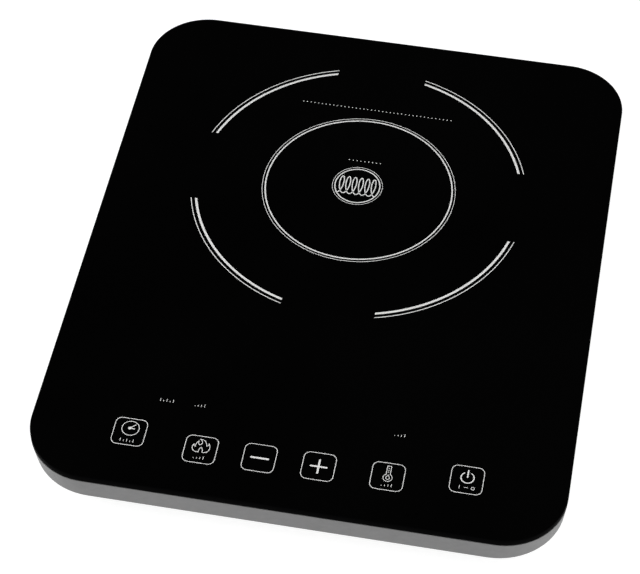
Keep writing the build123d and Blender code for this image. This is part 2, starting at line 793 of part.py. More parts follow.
def make_indicator_leds():
    lamps = []
    for x in indicator_x:
        lamp = disc(1.9, x, indicator_y, panel_top, panel_top + 1.0)
        lamp += disc(1.5, x, indicator_y, panel_top, panel_top + 5.0)
        lamps.append(fillet(lamp.edges().group_by(Axis.Z)[-1], 1.3))
    return group(lamps)


def make_buzzer():
    can = disc(6.0, 78.0, -121.0, panel_top, panel_top + 6.0)
    can = fillet(can.edges().group_by(Axis.Z)[-1], 0.5)
    return can - disc(1.2, 78.0, -121.0, panel_top + 4.5, panel_top + 7)


def make_panel_cable():
    """A flat ribbon between two plugs, one under the control board and one on the main board."""
    x, half = 28.0, 5.0
    top_y, low_y = -122.0, -106.5
    top_plug = block((x - 6.5, x + 6.5), (top_y - 2.5, top_y + 2.5), (panel_low - 5, panel_low))
    low_plug = block((x - 6.5, x + 6.5), (low_y - 2.5, low_y + 2.5), (board_top, board_top + 5))
    middle = (panel_low - 5 + board_top + 5) / 2
    path = FilletPolyline((x, top_y, panel_low - 5), (x, top_y, middle), (x, low_y, middle),
                          (x, low_y, board_top + 5), radius=1.6)
    start = Plane(origin=path @ 0, x_dir=(1, 0, 0), z_dir=path % 0)
    ribbon = sweep(start * Rectangle(2 * half, 1.0), path=path)
    return group([top_plug, low_plug, ribbon])


def make_inner_screws():
    """The same self-tapping screw holds the coil, the main board and the control board."""
    screws = [screw(x, y, carrier_top, inner_screw_length) for x, y in coil_posts]
    screws += [screw(x, y, board_top, inner_screw_length) for x, y in board_posts]
    screws += [screw(x, y, panel_top, inner_screw_length) for x, y in panel_posts]
    return group(screws)


def make_case_screws():
    places = case_screw_places
    return group([screw(x, y, well_top, case_screw_length, head_radius=3.2, upward=True) for x, y in places])


parts = {
    "glass_plate": make_glass_plate(),
    "glass_adhesive": make_glass_adhesive(),
    "side_frame": make_side_frame(),
    "base_shell": make_base_shell(),
    "case_screws": make_case_screws(),
    "cord_gland": make_cord_gland(),
    "coil_carrier": make_coil_carrier(),
    "induction_coil": make_induction_coil(),
    "coil_leads": make_coil_leads(),
    "coil_terminals": make_coil_terminals(),
    "mica_sheet": make_mica_sheet(),
    "sensor_holder": make_sensor_holder(),
    "coil_sensor": make_coil_sensor(),
    "sensor_cable": make_sensor_cable(),
    "main_board": make_main_board(),
    "heat_sink": make_heat_sink(),
    "power_transistor": make_power_transistor(),
    "bridge_rectifier": make_bridge_rectifier(),
    "device_screws": make_device_screws(),
    "resonant_capacitor": box_capacitor(42.0, -56.0, 30.0, 15.0, 20.0),
    "bus_capacitor": box_capacitor(46.0, -86.0, 18.0, 14.0, 18.0),
    "mains_capacitor": box_capacitor(106.0, -92.0, 24.0, 11.0, 16.0),
    "choke_core": make_choke_core(),
    "choke_winding": make_choke_winding(),
    "fuse": make_fuse(),
    "fuse_clips": make_fuse_clips(),
    "varistor": make_varistor(),
    "supply_transformer": make_supply_transformer(),
    "electrolytic_capacitors": make_electrolytic_capacitors(),
    "control_chip": make_control_chip(),
    "fan_housing": make_fan_housing(),
    "fan_bearing": make_fan_bearing(),
    "fan_stator": make_fan_stator(),
    "fan_impeller": make_fan_impeller(),
    "fan_magnet_ring": make_fan_magnet_ring(),
    "fan_shaft": make_fan_shaft(),
    "fan_screws": make_fan_screws(),
    "fan_cable": make_fan_cable(),
    "control_board": make_control_board(),
    "display_module": make_display_module(),
    "indicator_leds": make_indicator_leds(),
    "buzzer": make_buzzer(),
    "panel_cable": make_panel_cable(),
    "inner_screws": make_inner_screws(),
}
for across, across_sign in (("left", -1), ("right", 1)):
    for along, along_sign in (("front", -1), ("rear", 1)):
        parts[f"foot_{along}_{across}"] = make_foot(across_sign * foot_x, along_sign * foot_y)
for step in range(ferrite_count):
    parts[f"ferrite_bar_{step + 1}"] = make_ferrite_bar(step)
for key, (key_x, key_y) in keys.items():
    parts[f"touch_spring_{key}"] = make_touch_spring(key_x, key_y)

for node, shape in parts.items():
    export_step(shape, f"parts/{node}.step")
print(len(parts), "nodes written")
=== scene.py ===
import bpy
import bmesh
import math
from mathutils import Matrix, Vector


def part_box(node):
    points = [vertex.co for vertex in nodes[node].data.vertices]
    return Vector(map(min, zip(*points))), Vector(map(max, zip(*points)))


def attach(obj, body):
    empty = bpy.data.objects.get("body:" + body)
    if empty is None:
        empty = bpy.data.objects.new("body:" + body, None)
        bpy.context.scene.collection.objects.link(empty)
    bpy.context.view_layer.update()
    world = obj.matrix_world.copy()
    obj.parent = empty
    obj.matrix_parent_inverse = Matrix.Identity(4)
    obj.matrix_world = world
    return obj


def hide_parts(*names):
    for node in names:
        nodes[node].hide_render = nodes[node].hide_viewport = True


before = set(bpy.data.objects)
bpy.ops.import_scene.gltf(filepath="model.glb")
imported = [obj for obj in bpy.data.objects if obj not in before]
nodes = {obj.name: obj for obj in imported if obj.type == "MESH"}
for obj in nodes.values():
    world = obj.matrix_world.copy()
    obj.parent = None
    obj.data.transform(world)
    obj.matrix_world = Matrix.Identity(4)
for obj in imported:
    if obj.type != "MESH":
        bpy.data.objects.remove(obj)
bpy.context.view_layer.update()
scene = bpy.context.scene
mm = 0.001  # the frame is in metres, sizes below are in millimetres
print("frame loaded:", len(nodes), "nodes")

glassLow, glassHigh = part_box("glass_plate")
glassTop = glassHigh.z
plateWide = (glassHigh.x - glassLow.x) / mm
plateDeep = (glassHigh.y - glassLow.y) / mm


viewing = {
    "azimuth": 10.129, "elevation": 50.038, "roll": 0.332,
    "distance": 1.3046, "lens": 130.497,
    "aimX": -8.829, "aimY": -25.476,
}


def makeCamera():
    data = bpy.data.cameras.new("viewCamera")
    data.lens = viewing["lens"]
    data.sensor_width = 36.0
    data.clip_end = 50.0
    camera = bpy.data.objects.new("viewCamera", data)
    scene.collection.objects.link(camera)
    azimuth = math.radians(viewing["azimuth"])
    elevation = math.radians(viewing["elevation"])
    aim = Vector((viewing["aimX"] * mm, viewing["aimY"] * mm, glassTop))
    away = Vector((math.sin(azimuth) * math.cos(elevation), -math.cos(azimuth) * math.cos(elevation),
                   math.sin(elevation)))
    camera.location = aim + away * viewing["distance"]
    turn = (-away).to_track_quat("-Z", "Y").to_matrix()
    roll = Matrix.Rotation(math.radians(viewing["roll"]), 3, "Z")
    camera.rotation_euler = (turn @ roll).to_euler()
    scene.camera = camera


makeCamera()

studio = {
    "worldDark": 0.008, "worldPale": 0.95, "worldTop": 0.05,
    "floorColour": 0.35, "floorGlow": 0.885, "floorSize": 14.0,
    "lowLight": 30,
    # name: (azimuth, elevation, distance, size, watts)
    "lights": {
        "keyLeft": (-66, 52, 1.8, 1.3, 14.5),
        "fillRight": (68, 50, 1.9, 1.3, 11.0),
        "frontSoft": (-8, 50, 2.0, 1.4, 4.5),
        "backSoft": (176, 14, 2.4, 1.0, 3.0),
    },
}


def makeWorld():
    world = bpy.data.worlds.new("studioWorld")
    scene.world = world
    world.use_nodes = True
    tree = world.node_tree
    background = tree.nodes["Background"]
    coords = tree.nodes.new("ShaderNodeTexCoord")
    split = tree.nodes.new("ShaderNodeSeparateXYZ")
    ramp = tree.nodes.new("ShaderNodeValToRGB")
    tree.links.new(coords.outputs["Generated"], split.inputs[0])
    tree.links.new(split.outputs["Z"], ramp.inputs["Fac"])
    tree.links.new(ramp.outputs["Color"], background.inputs["Color"])
    dark, pale, top = studio["worldDark"], studio["worldPale"], studio["worldTop"]
    stops = ((0.0, pale), (0.28, pale), (0.55, dark), (0.9, dark), (1.0, top))
    while len(ramp.color_ramp.elements) < len(stops):
        ramp.color_ramp.elements.new(0.5)
    for element, (place, level) in zip(ramp.color_ramp.elements, stops):
        element.position = place
        element.color = (level, level, level, 1)


def makeLight(name, azimuth, elevation, distance, size, watts):
    data = bpy.data.lights.new(name, "AREA")
    data.shape = "DISK"
    data.size = size
    data.energy = watts
    light = bpy.data.objects.new(name, data)
    scene.collection.objects.link(light)
    a, e = math.radians(azimuth), math.radians(elevation)
    away = Vector((math.sin(a) * math.cos(e), -math.cos(a) * math.cos(e), math.sin(e)))
    light.location = away * distance
    light.rotation_euler = (-away).to_track_quat("-Z", "Y").to_euler()
    light.visible_glossy = elevation > studio["lowLight"]  # a low panel would white out the glass


def makeFloor():
    mesh = bpy.data.meshes.new("studioFloor")
    half = studio["floorSize"] / 2
    mesh.from_pydata([(-half, -half, 0), (half, -half, 0), (half, half, 0), (-half, half, 0)], [],
                     [(0, 1, 2, 3)])
    floor = bpy.data.objects.new("studioFloor", mesh)
    scene.collection.objects.link(floor)
    material = bpy.data.materials.new("floorPaper")
    material.use_nodes = True
    shader = material.node_tree.nodes["Principled BSDF"]
    level = studio["floorColour"]
    shader.inputs["Base Color"].default_value = (level, level, level, 1)
    shader.inputs["Roughness"].default_value = 0.9
    shader.inputs["Specular IOR Level"].default_value = 0.1
    shader.inputs["Emission Color"].default_value = (1, 1, 1, 1)
    shader.inputs["Emission Strength"].default_value = studio["floorGlow"]
    tree = material.node_tree
    geometry = tree.nodes.new("ShaderNodeNewGeometry")
    clear = tree.nodes.new("ShaderNodeBsdfTransparent")
    blend = tree.nodes.new("ShaderNodeMixShader")
    tree.links.new(geometry.outputs["Backfacing"], blend.inputs[0])  # clear from below, to show the underside
    tree.links.new(shader.outputs[0], blend.inputs[1])
    tree.links.new(clear.outputs[0], blend.inputs[2])
    tree.links.new(blend.outputs[0], tree.nodes["Material Output"].inputs["Surface"])
    mesh.materials.append(material)


makeWorld()
for lightName, values in studio["lights"].items():
    makeLight(lightName, *values)
makeFloor()
scene.view_settings.view_transform = "Standard"
print("studio ready")


def newGroup(name, inputs, outputs):
    # inputs: name -> default value; outputs: name -> socket type
    group = bpy.data.node_groups.new(name, "ShaderNodeTree")
    for label, value in inputs.items():
        socket = group.interface.new_socket(label, in_out="INPUT", socket_type="NodeSocketFloat")
        socket.default_value = value
    for label, kind in outputs.items():
        group.interface.new_socket(label, in_out="OUTPUT", socket_type=kind)
    entry = group.nodes.new("NodeGroupInput")
    leave = group.nodes.new("NodeGroupOutput")
    return group, entry, leave


def mathNode(tree, operation, first, second=None, clamp=False):
    node = tree.nodes.new("ShaderNodeMath")
    node.operation = operation
    node.use_clamp = clamp
    for index, value in enumerate((first, second)):
        if value is None:
            continue
        if isinstance(value, (int, float)):
            node.inputs[index].default_value = value
        else:
            tree.links.new(value, node.inputs[index])
    return node.outputs[0]


def noiseNode(tree, scale, detail=3.0, stretch=None):
    coords = tree.nodes.new("ShaderNodeTexCoord")
    place = coords.outputs["Object"]
    if stretch:
        mapping = tree.nodes.new("ShaderNodeMapping")
        mapping.inputs["Scale"].default_value = stretch
        tree.links.new(place, mapping.inputs["Vector"])
        place = mapping.outputs["Vector"]
    noise = tree.nodes.new("ShaderNodeTexNoise")
    noise.inputs["Detail"].default_value = detail
    tree.links.new(place, noise.inputs["Vector"])
    if isinstance(scale, (int, float)):
        noise.inputs["Scale"].default_value = scale
    else:
        tree.links.new(scale, noise.inputs["Scale"])
    return noise.outputs["Fac"]


def buildGrain():
    # moulded spark-eroded grain: fine noise with soft cells
    group, entry, leave = newGroup("mouldedGrain", {"Scale": 1500.0, "Cells": 900.0, "Mix": 0.5},
                                   {"Height": "NodeSocketFloat", "Patches": "NodeSocketFloat"})
    fine = noiseNode(group, entry.outputs["Scale"], 4.0)
    coords = group.nodes.new("ShaderNodeTexCoord")
    cells = group.nodes.new("ShaderNodeTexVoronoi")
    cells.feature = "SMOOTH_F1"
    group.links.new(coords.outputs["Object"], cells.inputs["Vector"])
    group.links.new(entry.outputs["Cells"], cells.inputs["Scale"])
    share = mathNode(group, "MULTIPLY", cells.outputs["Distance"], entry.outputs["Mix"])
    height = mathNode(group, "ADD", fine, share)
    group.links.new(height, leave.inputs["Height"])
    group.links.new(noiseNode(group, 22.0, 2.0), leave.inputs["Patches"])
    return group


def buildRubbedEdges():
    # pale where convex edges are rubbed, broken up by noise
    group, entry, leave = newGroup("rubbedEdges", {"Sharpness": 14.0, "Breakup": 220.0},
                                   {"Mask": "NodeSocketFloat"})
    geometry = group.nodes.new("ShaderNodeNewGeometry")
    lifted = mathNode(group, "SUBTRACT", geometry.outputs["Pointiness"], 0.505)
    strong = mathNode(group, "MULTIPLY", lifted, entry.outputs["Sharpness"], clamp=True)
    broken = mathNode(group, "MULTIPLY", strong, noiseNode(group, entry.outputs["Breakup"], 3.0), clamp=True)
    group.links.new(broken, leave.inputs["Mask"])
    return group


def buildDrawnLines():
    # drawing or extrusion lines on metal, running along X
    group, entry, leave = newGroup("drawnLines", {"Scale": 900.0}, {"Lines": "NodeSocketFloat"})
    lines = noiseNode(group, entry.outputs["Scale"], 2.0, stretch=(0.03, 1.0, 1.0))
    group.links.new(lines, leave.inputs["Lines"])
    return group


def buildSpeckle():
    # small dark and pale specks, as in sintered or pressed sheet
    group, entry, leave = newGroup("pressedSpeckle", {"Scale": 700.0, "Threshold": 0.6},
                                   {"Specks": "NodeSocketFloat", "Clouds": "NodeSocketFloat"})
    raw = noiseNode(group, entry.outputs["Scale"], 5.0)
    over = mathNode(group, "SUBTRACT", raw, entry.outputs["Threshold"])
    group.links.new(mathNode(group, "MULTIPLY", over, 9.0, clamp=True), leave.inputs["Specks"])
    group.links.new(noiseNode(group, 60.0, 4.0), leave.inputs["Clouds"])
    return group


def buildStrands():
    # the twist of a stranded conductor wound flat about an upright axis; its height is the strand relief and
    # also painted shade in the grooves between strands
    group, entry, leave = newGroup("twistedStrandsReliefAndShade",
                                   {"CentreX": 0.0, "CentreY": 0.0, "PerTurn": 420.0, "Across": 2400.0},
                                   {"Height": "NodeSocketFloat"})
    coords = group.nodes.new("ShaderNodeTexCoord")
    split = group.nodes.new("ShaderNodeSeparateXYZ")
    group.links.new(coords.outputs["Object"], split.inputs[0])
    dx = mathNode(group, "SUBTRACT", split.outputs["X"], entry.outputs["CentreX"])
    dy = mathNode(group, "SUBTRACT", split.outputs["Y"], entry.outputs["CentreY"])
    around = mathNode(group, "MULTIPLY", mathNode(group, "ARCTAN2", dy, dx), entry.outputs["PerTurn"])
    distance = mathNode(group, "SQRT", mathNode(group, "ADD", mathNode(group, "MULTIPLY", dx, dx),
                                                mathNode(group, "MULTIPLY", dy, dy)))
    across = mathNode(group, "MULTIPLY", mathNode(group, "ADD", distance, split.outputs["Z"]),
                      entry.outputs["Across"])
    wave = mathNode(group, "SINE", mathNode(group, "ADD", around, across))
    raised = mathNode(group, "ADD", mathNode(group, "MULTIPLY", wave, 0.5), 0.5)
    group.links.new(raised, leave.inputs["Height"])
    return group


grainGroup = buildGrain()
edgeGroup = buildRubbedEdges()
lineGroup = buildDrawnLines()
speckGroup = buildSpeckle()
strandReliefAndShadeGroup = buildStrands()


def placeGroup(tree, group, **values):
    node = tree.nodes.new("ShaderNodeGroup")
    node.node_tree = group
    for label, value in values.items():
        node.inputs[label].default_value = value
    return node


def mixColour(tree, factor, first, second):
    node = tree.nodes.new("ShaderNodeMix")
    node.data_type = "RGBA"
    sockets = {"factor": node.inputs[0], "first": node.inputs[6], "second": node.inputs[7]}
    for label, value in (("factor", factor), ("first", first), ("second", second)):
        if isinstance(value, bpy.types.NodeSocket):
            tree.links.new(value, sockets[label])
        elif label == "factor":
            sockets[label].default_value = value
        else:
            sockets[label].default_value = (*value, 1)
    return node.outputs[2]


def rangeNode(tree, value, low, high, fromLow=0.3, fromHigh=0.7):
    node = tree.nodes.new("ShaderNodeMapRange")
    node.inputs["From Min"].default_value = fromLow
    node.inputs["From Max"].default_value = fromHigh
    node.inputs["To Min"].default_value = low
    node.inputs["To Max"].default_value = high
    tree.links.new(value, node.inputs["Value"])
    return node.outputs["Result"]


def bumpNode(tree, height, strength, distance):
    node = tree.nodes.new("ShaderNodeBump")
    node.inputs["Strength"].default_value = strength
    node.inputs["Distance"].default_value = distance * mm
    tree.links.new(height, node.inputs["Height"])
    return node.outputs["Normal"]


def startMaterial(name, **sockets):
    material = bpy.data.materials.new(name)
    material.use_nodes = True
    tree = material.node_tree
    shader = tree.nodes["Principled BSDF"]
    for label, value in sockets.items():
        shader.inputs[label.replace("_", " ")].default_value = value
    return material, tree, shader


def mouldedPlastic(name, colour, rubbed, rough=(0.42, 0.56), grain=(1500.0, 0.25), specular=0.4, patch=0.12):
    # dyed plastic from a textured mould, with rubbed edges
    material, tree, shader = startMaterial(name, Specular_IOR_Level=specular)
    moulded = placeGroup(tree, grainGroup, Scale=grain[0], Cells=grain[0] * 0.6)
    worn = placeGroup(tree, edgeGroup)
    low = tuple(c * (1 - patch) for c in colour)
    high = tuple(min(1.0, c * (1 + patch)) for c in colour)
    base = mixColour(tree, rangeNode(tree, moulded.outputs["Patches"], 0, 1), low, high)
    base = mixColour(tree, worn.outputs["Mask"], base, rubbed)
    tree.links.new(base, shader.inputs["Base Color"])
    tree.links.new(rangeNode(tree, moulded.outputs["Patches"], *rough), shader.inputs["Roughness"])
    tree.links.new(bumpNode(tree, moulded.outputs["Height"], grain[1], 0.05), shader.inputs["Normal"])
    return material


def workedMetal(name, dark, light, rough=(0.22, 0.4), scale=900.0, bump=0.15):
    # plated or drawn metal with fine lines and a few dull patches
    material, tree, shader = startMaterial(name, Metallic=1.0)
    drawn = placeGroup(tree, lineGroup, Scale=scale)
    worn = placeGroup(tree, edgeGroup, Sharpness=9.0)
    base = mixColour(tree, rangeNode(tree, drawn.outputs["Lines"], 0, 1), dark, light)
    bright = tuple(min(1.0, c * 1.2) for c in light)
    base = mixColour(tree, worn.outputs["Mask"], base, bright)
    tree.links.new(base, shader.inputs["Base Color"])
    tree.links.new(rangeNode(tree, drawn.outputs["Lines"], *rough), shader.inputs["Roughness"])
    tree.links.new(bumpNode(tree, drawn.outputs["Lines"], bump, 0.03), shader.inputs["Normal"])
    return material


def strandedCopper(name, node, dark, light):
    # enamelled strands twisted into one flat-wound conductor, with painted shade darkening the grooves
    # between strands
    low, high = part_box(node)
    material, tree, shader = startMaterial(name, Metallic=0.9, Roughness=0.34)
    twistReliefAndShade = placeGroup(tree, strandReliefAndShadeGroup, CentreX=(low.x + high.x) / 2, CentreY=(low.y + high.y) / 2)
    tarnish = rangeNode(tree, noiseNode(tree, 35.0, 3.0), 0.0, 0.35)
    # painted shade: the dark copper colour fills the grooves between strands and the crests keep the light
    # copper colour
    base = mixColour(tree, twistReliefAndShade.outputs["Height"], dark, light)
    tree.links.new(mixColour(tree, tarnish, base, dark), shader.inputs["Base Color"])
    tree.links.new(rangeNode(tree, twistReliefAndShade.outputs["Height"], 0.5, 0.28, 0.0, 1.0), shader.inputs["Roughness"])
    tree.links.new(bumpNode(tree, twistReliefAndShade.outputs["Height"], 0.6, 0.12), shader.inputs["Normal"])
    return material


def pressedBody(name, colour, specks, rough=(0.5, 0.75), scale=700.0, threshold=0.58, specular=0.3, coat=0.0):
    # sintered, pressed or dipped bodies: specks, clouds and a slight tooth
    material, tree, shader = startMaterial(name, Specular_IOR_Level=specular, Coat_Weight=coat)
    pressed = placeGroup(tree, speckGroup, Scale=scale, Threshold=threshold)
    low = tuple(c * 0.82 for c in colour)
    base = mixColour(tree, rangeNode(tree, pressed.outputs["Clouds"], 0, 1), low, colour)
    base = mixColour(tree, pressed.outputs["Specks"], base, specks)
    tree.links.new(base, shader.inputs["Base Color"])
    tree.links.new(rangeNode(tree, pressed.outputs["Clouds"], *rough), shader.inputs["Roughness"])
    tree.links.new(bumpNode(tree, pressed.outputs["Specks"], 0.2, 0.03), shader.inputs["Normal"])
    return material


print("shader groups ready")


glassLook = {
    "cornerRadius": 35.0, "topBevel": 0.5, "lowBevel": 0.4, "bevelSteps": 4, "cornerSteps": 28,
    "polish": (0.045, 0.075), "black": (0.0004, 0.0004, 0.0004), "cloud": (0.0010, 0.0010, 0.0010),
    "edgeBlack": (0.0012, 0.0012, 0.0013), "capInset": 0.4, "rimShare": 0.02,
}


def polishedGlass():
    # black glass-ceramic: a dark body under a clear polished face
    material, tree, shader = startMaterial("polishedBlackGlass", IOR=1.52)
    haze = noiseNode(tree, 9.0, 4.0)
    wiped = noiseNode(tree, 30.0, 3.0, stretch=(0.25, 1.0, 1.0))
    tree.links.new(mixColour(tree, rangeNode(tree, haze, 0, 1), glassLook["black"], glassLook["cloud"]),
                   shader.inputs["Base Color"])
    tree.links.new(rangeNode(tree, wiped, *glassLook["polish"]), shader.inputs["Roughness"])
    return material


def groundEdge():
    # the ground and blackened rim of the plate
    material, tree, shader = startMaterial("groundBlackEdge", Specular_IOR_Level=0.003)
    grind = noiseNode(tree, 1400.0, 3.0, stretch=(1.0, 1.0, 4.0))
    dull = tuple(c * 0.5 for c in glassLook["edgeBlack"])
    tree.links.new(mixColour(tree, rangeNode(tree, grind, 0, 1), dull, glassLook["edgeBlack"]),
                   shader.inputs["Base Color"])
    tree.links.new(rangeNode(tree, grind, 0.35, 0.55), shader.inputs["Roughness"])
    tree.links.new(bumpNode(tree, grind, 0.2, 0.02), shader.inputs["Normal"])
    return material


def roundedOutline(wide, deep, corner, steps):
    # counter-clockwise points of a rounded rectangle about the origin, in millimetres
    points = []
    for quarter, (sx, sy) in enumerate(((1, -1), (1, 1), (-1, 1), (-1, -1))):
        middle = (sx * (wide / 2 - corner), sy * (deep / 2 - corner))
        for step in range(steps + 1):
            angle = math.radians(-90 + quarter * 90 + 90 * step / steps)
            points.append((middle[0] + corner * math.cos(angle), middle[1] + corner * math.sin(angle)))
    return points


def layeredSlab(name, layers, steps, wide, deep, corner):
    # layers: (inset, height) from the underside to the top; caps are single faces with an inner loop
    mesh = bpy.data.meshes.new(name)
    work = bmesh.new()
    loops = []
    for inset, height in layers:
        outline = roundedOutline(wide - 2 * inset, deep - 2 * inset, corner - inset, steps)
        loops.append([work.verts.new((x * mm, y * mm, height * mm)) for x, y in outline])
    for lower, upper in zip(loops, loops[1:]):
        for index in range(len(lower)):
            after = (index + 1) % len(lower)
            work.faces.new((lower[index], lower[after], upper[after], upper[index]))
    work.faces.new(list(reversed(loops[0])))
    work.faces.new(loops[-1])
    work.to_mesh(mesh)
    work.free()
    piece = bpy.data.objects.new(name, mesh)
    scene.collection.objects.link(piece)
    return piece


def makeGlass():
    look = glassLook
    low, high = glassLow.z / mm, glassTop / mm
    layers = []
    for step in range(look["bevelSteps"] + 1):
        angle = math.radians(90 * step / look["bevelSteps"])
        layers.append((look["lowBevel"] * (1 - math.sin(angle)),
                       low + look["lowBevel"] * (1 - math.cos(angle))))
    for step in range(look["bevelSteps"] + 1):
        angle = math.radians(90 * step / look["bevelSteps"])
        layers.append((look["topBevel"] * (1 - math.cos(angle)),
                       high - look["topBevel"] * (1 - math.sin(angle))))
    layers.append((look["topBevel"] + look["capInset"], high))
    piece = layeredSlab("glassCeramicPlate", layers, look["cornerSteps"], plateWide, plateDeep,
                        look["cornerRadius"])
    mesh = piece.data
    mesh.materials.append(polishedGlass())
    mesh.materials.append(groundEdge())
    rim = (high - look["topBevel"] * look["rimShare"]) * mm
    for face in mesh.polygons:
        face.use_smooth = len(face.vertices) == 4 and face.center.z < rim
        if face.center.z < rim:
            face.material_index = 1
    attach(piece, "cooktop")
    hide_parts("glass_plate")


makeGlass()
print("glass plate made")


printLook = {"lift": 0.0, "thickness": 0.035, "stagger": 0.002,
             "ink": (0.92, 0.92, 0.91), "thinInk": (0.74, 0.74, 0.73)}


def firedInk():
    # white enamel: dense, slightly toothy, with faint uneven cover
    material, tree, shader = startMaterial("firedWhiteInk", Specular_IOR_Level=0.25)
    cover = noiseNode(tree, 900.0, 4.0)
    tree.links.new(mixColour(tree, rangeNode(tree, cover, 0, 1, 0.2, 0.55), printLook["thinInk"],
                             printLook["ink"]), shader.inputs["Base Color"])
    tree.links.new(rangeNode(tree, cover, 0.45, 0.65), shader.inputs["Roughness"])
    tree.links.new(bumpNode(tree, cover, 0.1, 0.01), shader.inputs["Normal"])
    return material


inkMaterial = firedInk()


def inkStrip(work, inner, outer, closed, extra=0.0):
    # a thin raised strip between two rows of points; extra height keeps crossing strokes apart
    low = glassTop / mm + printLook["lift"]
    high = low + printLook["thickness"] + extra
    rows = []
    for row, height in ((inner, low), (outer, low), (outer, high), (inner, high)):
        rows.append([work.verts.new((x * mm, y * mm, height * mm)) for x, y in row])
    count = len(inner)
    last = count if closed else count - 1
    for index in range(last):
        after = (index + 1) % count
        for side in range(4):
            first, second = rows[side], rows[(side + 1) % 4]
            work.faces.new((first[index], first[after], second[after], second[index]))
    if not closed:
        work.faces.new([row[0] for row in rows])
        work.faces.new([row[-1] for row in reversed(rows)])


def inkLine(work, points, width, closed=False, roundEnds=True, extra=0.0):
    # a strip of even width along a line of points
    points = [Vector(p) for p in points]
    count = len(points)
    inner, outer = [], []
    for index, point in enumerate(points):
        before = points[index - 1] if (closed or index > 0) else None
        after = points[(index + 1) % count] if (closed or index < count - 1) else None
        into = (point - before).normalized() if before is not None else None
        out = (after - point).normalized() if after is not None else None
        into = into or out
        out = out or into
        along = (into + out).normalized()
        normal = Vector((-along.y, along.x))
        reach = width / 2 / max(0.35, normal.dot(Vector((-into.y, into.x))))
        inner.append(point - normal * reach)
        outer.append(point + normal * reach)
    inkStrip(work, inner, outer, closed, extra)
    if roundEnds and not closed:
        for point in (points[0], points[-1]):
            inkDot(work, point, width / 2, extra=extra + printLook["stagger"])


def inkDot(work, centre, radius, steps=14, extra=0.0):
    low = glassTop / mm + printLook["lift"]
    rims = []
    for height in (low, low + printLook["thickness"] + extra):
        rims.append([work.verts.new(((centre[0] + radius * math.cos(math.tau * s / steps)) * mm,
                                     (centre[1] + radius * math.sin(math.tau * s / steps)) * mm,
                                     height * mm)) for s in range(steps)])
    for index in range(steps):
        after = (index + 1) % steps
        work.faces.new((rims[0][index], rims[0][after], rims[1][after], rims[1][index]))
    work.faces.new(list(reversed(rims[0])))
    work.faces.new(rims[1])


def arcPoints(centre, radius, start, end, steps):
    return [(centre[0] + radius * math.cos(math.radians(start + (end - start) * s / steps)),
             centre[1] + radius * math.sin(math.radians(start + (end - start) * s / steps)))
            for s in range(steps + 1)]


def inkRing(work, centre, radius, width, steps=160):
    inner = arcPoints(centre, radius - width / 2, 0, 360, steps)[:-1]
    outer = arcPoints(centre, radius + width / 2, 0, 360, steps)[:-1]
    inkStrip(work, inner, outer, True)


def finishPrint(name, work):
    bmesh.ops.recalc_face_normals(work, faces=work.faces)
    mesh = bpy.data.meshes.new(name)
    work.to_mesh(mesh)
    work.free()
    piece = bpy.data.objects.new(name, mesh)
    scene.collection.objects.link(piece)
    mesh.materials.append(inkMaterial)
    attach(piece, "cooktop")
    return piece


ringLook = {
    "centre": (-0.28, 52.46), "outer": ((94.75, 1.36), (97.6, 0.48)),
    "gapX": (-28.3, 24.8), "gapY": (27.7, 81.1),
    "middleCentre": (-0.21, 52.47), "middle": ((54.5, 0.80), (56.3, 0.32)),
    "innerCentre": (-1.25, 54.3), "inner": ((13.15, 0.64), (14.65, 0.26)),
}


def clippedArc(work, radius, width, sideX, sideY, steps=60):
    # one quarter of the outer ring, its ends cut square to the plate by the cross-shaped gap
    cx, cy = ringLook["centre"]
    edgeX = ringLook["gapX"][0 if sideX < 0 else 1] - cx
    edgeY = ringLook["gapY"][0 if sideY < 0 else 1] - cy
    rows = []
    for r in (radius - width / 2, radius + width / 2):
        top = math.atan2(sideY * math.sqrt(r * r - edgeX * edgeX), edgeX)
        side = math.atan2(edgeY, sideX * math.sqrt(r * r - edgeY * edgeY))
        sweep = (side - top + math.pi) % math.tau - math.pi
        rows.append([(cx + r * math.cos(top + sweep * s / steps), cy + r * math.sin(top + sweep * s / steps))
                     for s in range(steps + 1)])
    inkStrip(work, rows[0], rows[1], False)


def makeRings():
    work = bmesh.new()
    for radius, width in ringLook["outer"]:
        for sideX in (-1, 1):
            for sideY in (-1, 1):
                clippedArc(work, radius, width, sideX, sideY)
    finishPrint("outerZoneRing", work)
    for name, centre, rings in (("middleZoneRing", "middleCentre", "middle"),
                                ("innerZoneRing", "innerCentre", "inner")):
        work = bmesh.new()
        for radius, width in ringLook[rings]:
            inkRing(work, ringLook[centre], radius, width)
        finishPrint(name, work)


coilSign = {"firstX": -10.7, "pitch": 3.76, "loops": 6, "swing": 2.05, "rise": 6.65, "centreY": 54.05,
            "width": 0.60, "trim": 0.12, "steps": 30}


def makeCoilSign():
    # the looped line of a coil: a point on a wheel that rolls and overshoots
    sign = coilSign
    total = sign["loops"] * math.tau
    count = sign["loops"] * sign["steps"]
    points = []
    for step in range(count + 1):
        t = sign["trim"] + (total - 2 * sign["trim"]) * step / count
        x = sign["firstX"] - sign["pitch"] / 2 + sign["pitch"] * t / math.tau + sign["swing"] * math.sin(t)
        points.append((x, sign["centreY"] - sign["rise"] * math.cos(t)))
    work = bmesh.new()
    inkLine(work, points, sign["width"])
    finishPrint("coilSign", work)


keyLook = {
    "wide": 17.4, "deep": 17.4, "corner": 3.4, "line": 0.36,
    "places": {"timer": (-90.75, -143.3), "heat": (-51.0, -147.9), "minus": (-19.15, -147.6),
               "plus": (12.7, -147.25), "temp": (49.6, -147.0), "power": (91.0, -141.5)},
}


def makeKeyFrames():
    look = keyLook
    for key, (x, y) in look["places"].items():
        outline = roundedOutline(look["wide"], look["deep"], look["corner"], 8)
        work = bmesh.new()
        inkLine(work, [(x + px, y + py) for px, py in outline], look["line"], closed=True)
        finishPrint("keyFrame_" + key, work)


timerSign = {"rise": 2.3, "radius": 4.65, "line": 0.37, "hub": 0.90, "hubLeft": 0.4, "hand": 0.50,
             "longHand": (2.7, 2.65), "shortHand": (2.6, -0.1)}


